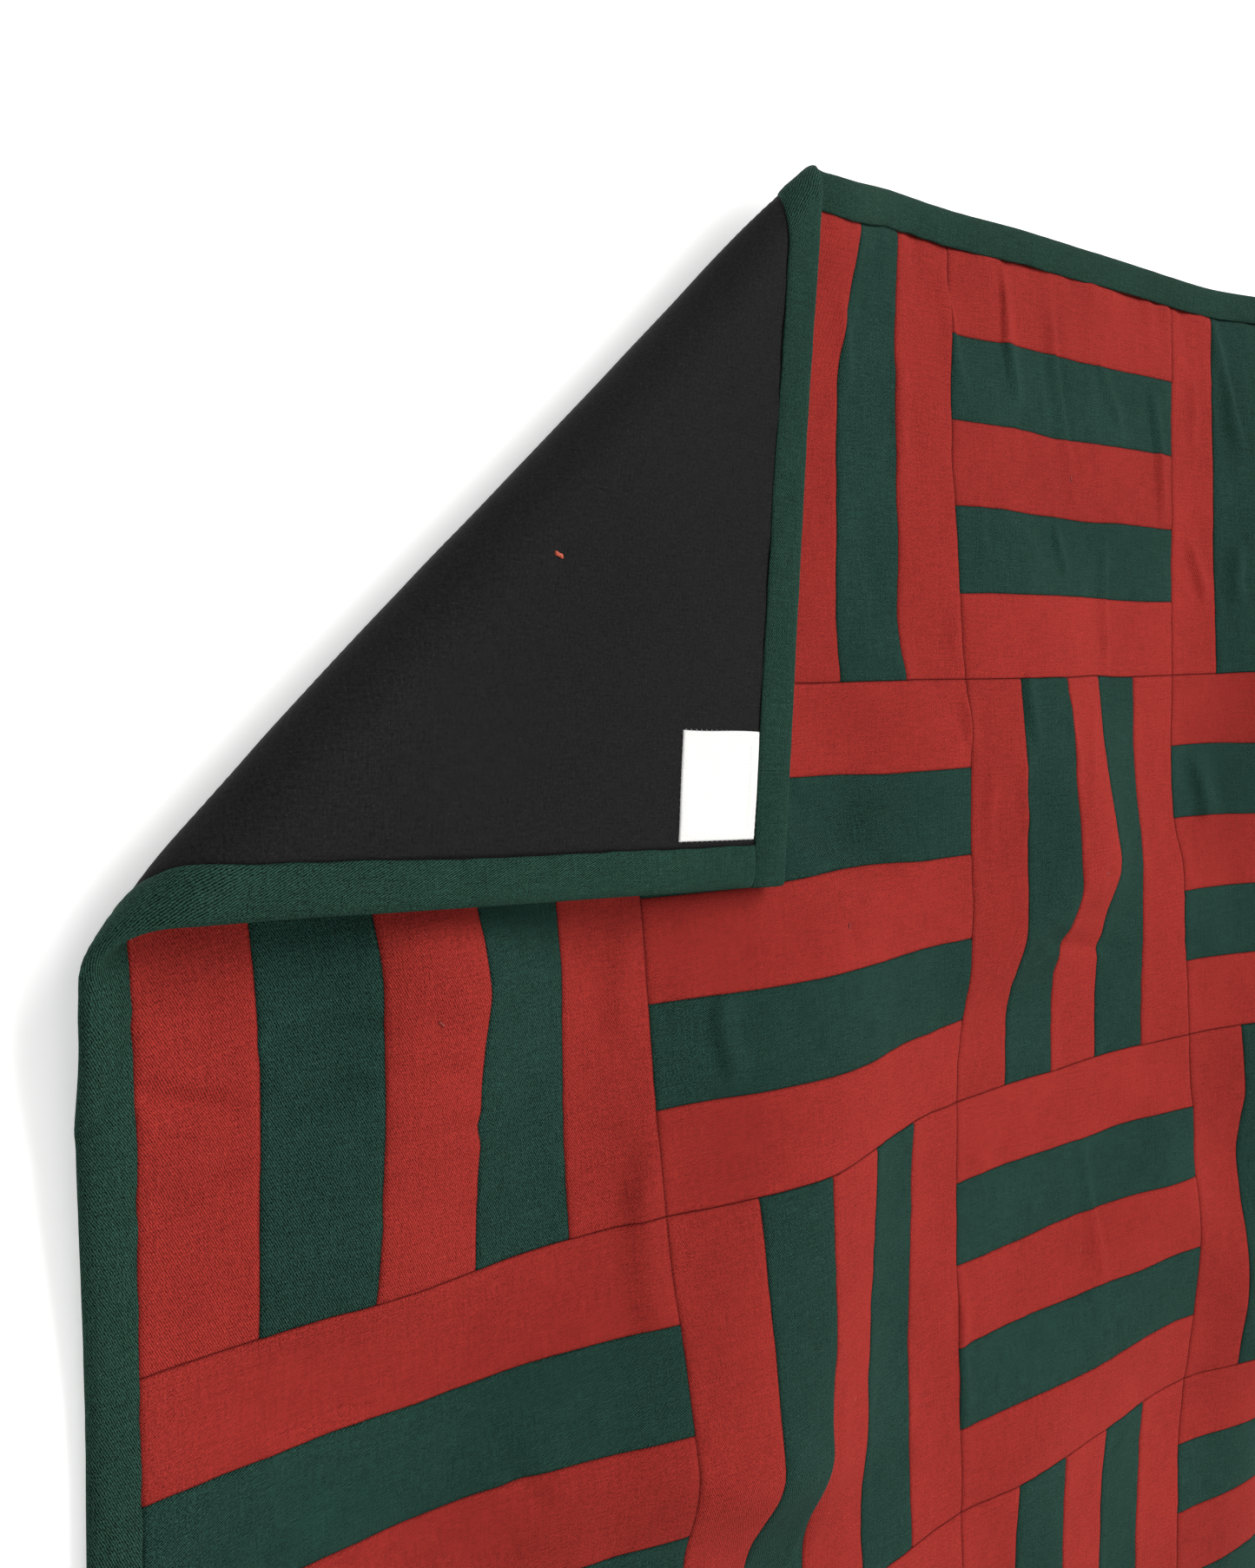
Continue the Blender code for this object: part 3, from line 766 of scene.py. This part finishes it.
def make_binding(name, node, side, closed_ends):
    """side: 0 top, 1 bottom, 2 left, 3 right."""
    outer, inner = binding_profile()
    level = side < 2
    length = WIDTH if level else LENGTH
    low, high = (0.0, length) if level else (BIND + GAP, length - BIND - GAP)
    count = int(round((high - low) / 0.0026))
    run = np.linspace(low, high, count + 1)
    if closed_ends:
        ends = np.array([0.0, 0.00025, 0.0008, 0.0016, 0.0030])
        run = np.unique(np.concatenate([ends, run[(run > 0.0036) & (run < high - 0.0036)], high - ends]))
    r = run[:, None]

    seed = 100 + side * 10
    wave = np.stack([unevenness(run, run * 0 + k, 0.0105, seed + k) for k in range(2)], 1)
    slow = np.stack([unevenness(run, run * 0 + k, 0.090, seed + 4 + k) for k in range(2)], 1)

    def place(profile, raised):
        depth = np.broadcast_to(profile[:, 0], (len(run), len(profile))).copy()
        height = np.broadcast_to(profile[:, 1], (len(run), len(profile))).copy()
        face = np.where(profile[:, 1] > 0, 0, 1)
        if level:
            depth += face * 0.0032 * np.clip((profile[:, 0] - 0.009) / 0.012, 0, 1)
        fine, soft = wave[:, face], slow[:, face]
        inward = np.clip((profile[:, 0] - 0.004) / 0.017, 0, 1)
        if raised:
            # the sewn edge wavers, the face puffs between stitches
            depth += inward ** 3 * (0.00042 * fine + 0.0008 * soft) * (profile[:, 0] > 0.015)
            puff = np.sin(np.clip(profile[:, 0] / 0.021, 0, 1) * math.pi)
            swell = 0.00028 * fine * inward ** 2 + 0.00040 * soft * puff
            height += np.sign(height) * swell
            height += np.sign(height) * 0.00016 * unevenness(r, profile[None, :, 0] * 1.5 + face * 3, 0.0085, seed + 8)
            depth += (0.0005 * soft) * (1 - np.clip(profile[:, 0] / 0.008, 0, 1))
            depth = np.maximum(depth, 0.0)
        if not closed_ends:
            # tucked under the wider back of the other two
            under = np.minimum(run - low, high - run)
            tucked = 1 - 0.34 * (1 - np.clip((under - 0.0030) / 0.0012, 0, 1))
            height *= np.where(face[None, :] == 1, tucked[:, None], 1.0)
        if closed_ends:
            into = np.minimum(run, high - run)
            if raised:
                t = np.clip(into / 0.0030, 0, 1)
                shrink = np.sqrt(np.clip(1 - (1 - t) ** 2, 0, 1))
                height *= (0.30 + 0.70 * shrink)[:, None]
                depth = depth + (1 - shrink)[:, None] * 0.0012 * (depth < 0.006)
            else:
                # the ends are turned in, so the channel's hollow stops short of them
                solid = into < 0.0012
                depth[solid] = 0.0209
                height[solid] = (profile[:, 1] * 0.55)[None, :] * 0.8
        return depth, height

    d_out, h_out = place(outer, True)
    d_in, h_in = place(inner, False)
    lip_front, lip_back = d_out[:, :1], d_out[:, -1:]
    d_in = np.minimum(d_in, np.minimum(lip_front, lip_back) - 0.00008)
    depth = np.concatenate([d_out, d_in[:, ::-1]], 1)
    height = np.concatenate([h_out, h_in[:, ::-1]], 1)
    along = np.broadcast_to(r, depth.shape)
    if side == 0:
        u, v = along, depth
    elif side == 1:
        u, v = along, LENGTH - depth
    elif side == 2:
        u, v = depth, along
    else:
        u, v = WIDTH - depth, along
    points = hang(u, v, height)
    n, m = depth.shape
    i, j = np.meshgrid(np.arange(n - 1), np.arange(m), indexing="ij")
    i, j = i.ravel(), j.ravel()
    jn = (j + 1) % m
    quads = np.stack([i * m + j, i * m + jn, (i + 1) * m + jn, (i + 1) * m + j], -1)
    if side in (0, 3):
        quads = quads[:, ::-1]
    faces = quads.tolist()
    # end faces, as strips between the outer and the inner outline
    k_out, k_in = len(outer), len(inner)
    for row, first in ((0, True), (n - 1, False)):
        a = [row * m + k for k in range(k_out)]
        b = [row * m + m - 1 - k for k in range(k_in)]
        strip, p, q = [], 0, 0
        while p < k_out - 1 or q < k_in - 1:
            if q >= k_in - 1 or (p < k_out - 1 and (p + 1) / k_out <= (q + 1) / k_in):
                strip.append([a[p], a[p + 1], b[q]])
                p += 1
            else:
                strip.append([a[p], b[q + 1], b[q]])
                q += 1
        turn = first ^ (side in (0, 3))
        faces += [t if turn else t[::-1] for t in strip]
    piece = make_object(name, points, faces)
    # the cloth's own coordinates: along the edge, and round the section
    step = np.hypot(np.diff(depth, axis=1), np.diff(height, axis=1))
    around = np.concatenate([np.zeros((n, 1)), np.cumsum(step, 1)], 1)
    flat_a, flat_b = along.ravel(), around.ravel()
    loops = np.zeros(len(piece.data.loops), dtype=np.int32)
    piece.data.loops.foreach_get("vertex_index", loops)
    set_uv(piece, "flat", np.stack([flat_a[loops], flat_b[loops]], -1))
    set_uv(piece, "grain", np.stack([flat_b[loops], flat_a[loops]], -1))
    # painted shade along the binding's sewn edge
    seam_shade = np.exp(-((0.0212 - depth) / 0.0006) ** 2) * (np.abs(height) < 0.0030)
    set_value(piece, "seam", np.clip(seam_shade, 0, 1) * 0.8)
    set_value(piece, "tone", np.ones(len(piece.data.polygons)) * (0.98, 1.0, 1.03, 0.97)[side], "FACE")
    piece.data.materials.append(bind_twill)
    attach(piece, "root")
    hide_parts(node)
    return piece


binding = [
    make_binding("edge_top", "binding_top", 0, True),
    make_binding("edge_bottom", "binding_bottom", 1, True),
    make_binding("edge_left", "binding_left", 2, False),
    make_binding("edge_right", "binding_right", 3, False),
]

# ------------------------------------------------------------------------
# the bare label, sewn on beside the corner
# ------------------------------------------------------------------------


def make_label():
    low, low_v = BIND + 0.0030, BIND + 0.0042
    t = np.concatenate([[0, 0.0004, 0.0010, 0.0020], np.linspace(0.004, LABEL_SIDE - 0.004, 44),
                        [LABEL_SIDE - 0.0020, LABEL_SIDE - 0.0010, LABEL_SIDE - 0.0004, LABEL_SIDE]])
    a, b = np.meshgrid(t, t, indexing="ij")
    # the sides are not quite straight
    skew = 0.00035 * np.sin(b / LABEL_SIDE * 5.1 + 0.6) * (a / LABEL_SIDE)
    lean = 0.00030 * np.sin(a / LABEL_SIDE * 4.3 + 1.9) * (1 - b / LABEL_SIDE)
    u, v = low + a + skew, low_v + b + lean
    edge = np.minimum(np.minimum(a, LABEL_SIDE - a), np.minimum(b, LABEL_SIDE - b))
    rim = np.clip(edge / 0.0012, 0, 1)
    relief, _ = back_relief(u, v)
    under = relief + 0.00012
    fold_in = 0.00030 * np.clip((0.0062 - edge) / 0.0008, 0, 1)
    dip = 0.00025 * np.exp(-((edge - 0.0018) / 0.0005) ** 2)
    thick = 0.00012 + (0.00038 + fold_in - dip) * np.sqrt(rim)
    thick = thick + 0.00016 * unevenness(u, v, 0.011, 71) * rim
    inner_face = hang(u, v, BACK - under)
    outer_face = hang(u, v, BACK - under - thick)
    faces = closed_sheet(len(t), len(t))
    piece = make_object("label_square", np.stack([inner_face, outer_face]), faces.tolist())
    flat_u, flat_v = np.tile(u.ravel(), 2), np.tile(v.ravel(), 2)
    set_uv(piece, "flat", np.stack([flat_u[faces], -flat_v[faces]], -1))
    # faint painted shade along the label's stitched line
    set_value(piece, "seam", np.tile((0.10 * np.exp(-((edge - 0.0018) / 0.0004) ** 2)).ravel(), 2))
    piece.data.materials.append(label_cloth)
    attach(piece, "root")
    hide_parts("label")
    return piece, low, low_v


label, label_low, label_low_v = make_label()

# ------------------------------------------------------------------------
# threads
# ------------------------------------------------------------------------


def thread_run(lines, radius, sides=7):
    """Closed round threads through each line of points, as one joined body of meshes."""
    points, faces = [], []
    for line in lines:
        line = np.asarray(line, float)
        base = len(points)
        tangent = np.gradient(line, axis=0)
        tangent /= np.linalg.norm(tangent, axis=1, keepdims=True)
        guide = np.array([0.31, 0.77, 0.55])
        side = np.cross(tangent, guide)
        side /= np.linalg.norm(side, axis=1, keepdims=True)
        other = np.cross(tangent, side)
        k = len(line)
        taper = np.full(k, 1.0)
        taper[0] = taper[-1] = 0.45
        for q in range(k):
            for s in range(sides):
                angle = 2 * math.pi * s / sides
                offset = math.cos(angle) * side[q] + math.sin(angle) * other[q]
                points.append(line[q] + radius * taper[q] * offset)
        for q in range(k - 1):
            for s in range(sides):
                t = (s + 1) % sides
                faces.append([base + q * sides + s, base + q * sides + t,
                              base + (q + 1) * sides + t, base + (q + 1) * sides + s])
        faces.append([base + s for s in reversed(range(sides))])
        faces.append([base + (k - 1) * sides + s for s in range(sides)])
    return np.array(points), faces


def make_threads(name, material, lines, radius):
    points, faces = thread_run(lines, radius)
    piece = make_object(name, points, faces)
    piece.data.materials.append(material)
    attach(piece, "root")
    return piece


def stitch(u0, v0, u1, v1, w_of, arch, count=7):
    t = np.linspace(0, 1, count)
    u, v = u0 + (u1 - u0) * t, v0 + (v1 - v0) * t
    rise = arch * np.sin(t * math.pi) ** 0.6 - arch * 0.35
    return u, v, w_of(u, v), rise


front_lines, back_lines = [], []
for tu, tv, up, lean in TIES:
    for turn, half in ((lean + 0.15, 0.0021), (lean + 0.55, 0.0017)):
        angle = turn + (0.0 if up else math.pi / 2)
        du, dv = half * math.cos(angle), half * math.sin(angle)
        u, v, w, rise = stitch(tu - du, tv - dv, tu + du, tv + dv,
                               lambda a, b: FRONT + front_relief(a, b)[0], 0.0007)
        drift_u, drift_v = wander(u, v)
        front_lines.append(hang(u + drift_u, v + drift_v, w + rise + 0.0001))
    for turn, half in ((lean + 1.1, 0.0026), (lean + 1.45, 0.0022)):
        du, dv = half * math.cos(turn), half * math.sin(turn)
        u, v, w, rise = stitch(tu - du, tv - dv, tu + du, tv + dv,
                               lambda a, b: BACK - back_relief(a, b)[0], 0.0008)
        back_lines.append(hang(u, v, w - rise - 0.0001))
ties_front = make_threads("ties_front", red_thread, front_lines, 0.00036)
ties_back = make_threads("ties_back", rust_thread, back_lines, 0.00075)

label_lines = []
pitch = 0.0032
for side_of in range(4):
    count = int((LABEL_SIDE - 0.004) / pitch)
    for k in range(count + 1):
        t = 0.0020 + (LABEL_SIDE - 0.004) * k / count
        a0, b0, a1, b1 = ((t, 0.0011, t + 0.0004, -0.0005), (t, LABEL_SIDE - 0.0011, t + 0.0004, LABEL_SIDE + 0.0005),
                          (0.0011, t, -0.0005, t + 0.0004), (LABEL_SIDE - 0.0011, t, LABEL_SIDE + 0.0005, t + 0.0004))[side_of]
        s = np.linspace(0, 1, 5)
        u, v = label_low + a0 + (a1 - a0) * s, label_low_v + b0 + (b1 - b0) * s
        w = BACK - back_relief(u, v)[0] - 0.00012 - 0.00046 * (1 - s ** 2)
        label_lines.append(hang(u, v, w - 0.00012 * np.sin(s * math.pi)))
label_stitches = make_threads("label_stitches", white_thread, label_lines, 0.00013)

# ------------------------------------------------------------------------
# stage: white wall, pale floor, soft light
# ------------------------------------------------------------------------


def stage_plane(name, corners, material):
    mesh = bpy.data.meshes.new(name)
    mesh.from_pydata(corners, [], [tuple(range(len(corners)))])
    mesh.materials.append(material)
    piece = bpy.data.objects.new(name, mesh)
    bpy.context.scene.collection.objects.link(piece)
    return piece


def wall_material():
    """White paint seen from the front; nothing from behind, so the quilt's back shows."""
    n = Nodes("wall_paint")
    side = n.make("ShaderNodeNewGeometry").outputs["Backfacing"]
    ray = n.make("ShaderNodeLightPath").outputs["Is Shadow Ray"]
    clear = n.make("ShaderNodeBsdfTransparent")
    mix = n.make("ShaderNodeMixShader")
    n.join(n.math("MAXIMUM", side, ray), mix.inputs[0])
    glow = n.make("ShaderNodeEmission")
    glow.inputs["Strength"].default_value = 0.46
    both = n.make("ShaderNodeAddShader")
    n.join(n.shader.outputs[0], both.inputs[0])
    n.join(glow.outputs[0], both.inputs[1])
    n.join(both.outputs[0], mix.inputs[1])
    n.join(clear.outputs[0], mix.inputs[2])
    out = next(node for node in n.tree.nodes if node.type == "OUTPUT_MATERIAL")
    n.join(mix.outputs[0], out.inputs["Surface"])
    n.shader.inputs["Base Color"].default_value = (0.86, 0.86, 0.86, 1.0)
    n.shader.inputs["Roughness"].default_value = 0.9
    n.shader.inputs["Specular IOR Level"].default_value = 0.1
    return n.material


def floor_material():
    n = Nodes("floor_pale")
    n.shader.inputs["Base Color"].default_value = (0.80, 0.79, 0.77, 1.0)
    n.shader.inputs["Roughness"].default_value = 0.85
    return n.material


FLOOR_Z = -1.72
wall = stage_plane("wall", [(-3.0, 0.0012, FLOOR_Z), (3.0, 0.0012, FLOOR_Z), (3.0, 0.0012, 1.6), (-3.0, 0.0012, 1.6)],
                   wall_material())
floor = stage_plane("floor", [(-6, -6, FLOOR_Z), (6, -6, FLOOR_Z), (6, 6, FLOOR_Z), (-6, 6, FLOOR_Z)],
                    floor_material())

world = bpy.data.worlds.new("studio")
bpy.context.scene.world = world
world.use_nodes = True
world.node_tree.nodes["Background"].inputs[0].default_value = (1.0, 1.0, 1.0, 1.0)
world.node_tree.nodes["Background"].inputs[1].default_value = 0.28


def area_light(name, where, target, width, height, power, colour=(1, 1, 1)):
    data = bpy.data.lights.new(name, "AREA")
    data.shape = "RECTANGLE"
    data.size, data.size_y = width, height
    data.energy = power
    data.color = colour
    lamp = bpy.data.objects.new(name, data)
    bpy.context.scene.collection.objects.link(lamp)
    lamp.location = where
    lamp.rotation_euler = (Vector(target) - Vector(where)).to_track_quat("-Z", "Y").to_euler()
    return lamp


area_light("window", (5.9, -6.4, 5.3), (0.0, 0.0, -0.6), 7.4, 7.4, 1210.0, (1.0, 0.995, 0.985))
area_light("low_right", (1.2, -2.3, -1.4), (0.15, 0.0, -0.85), 1.2, 1.2, 13.5, (1.0, 0.99, 0.985))
area_light("bounce", (-1.1, -2.4, -1.55), (-0.3, 0.0, -0.45), 1.2, 1.2, 11.0, (0.97, 0.985, 1.0))
area_light("behind", (1.2, 3.2, 1.2), (0.0, 0.0, -0.6), 2.4, 2.4, 60.0)

# ------------------------------------------------------------------------
# camera, as in the photograph
# ------------------------------------------------------------------------
CAM_AT = (-3.636 * STRIP - WIDTH / 2, -10.454 * STRIP - 0.0018, -5.417 * STRIP)
YAW, PITCH, ROLL = math.radians(41.06), math.radians(-3.78), math.radians(-1.34)
FOCAL_PX, FRAME_PX = 1683.2, 1806.0

forward = Vector((math.sin(YAW) * math.cos(PITCH), math.cos(YAW) * math.cos(PITCH), math.sin(PITCH)))
right0 = Vector((math.cos(YAW), -math.sin(YAW), 0.0))
up0 = right0.cross(forward)
right = right0 * math.cos(ROLL) + up0 * math.sin(ROLL)
up = up0 * math.cos(ROLL) - right0 * math.sin(ROLL)
cam_data = bpy.data.cameras.new("camera")
cam_data.sensor_width = 36.0
cam_data.lens = FOCAL_PX / FRAME_PX * 36.0
cam_data.clip_start, cam_data.clip_end = 0.02, 50.0
camera = bpy.data.objects.new("camera", cam_data)
bpy.context.scene.collection.objects.link(camera)
turned = Matrix((right, up, -forward)).transposed().to_4x4()
turned.translation = Vector(CAM_AT)
camera.matrix_world = turned
bpy.context.scene.camera = camera
bpy.context.scene.view_settings.view_transform = "Standard"
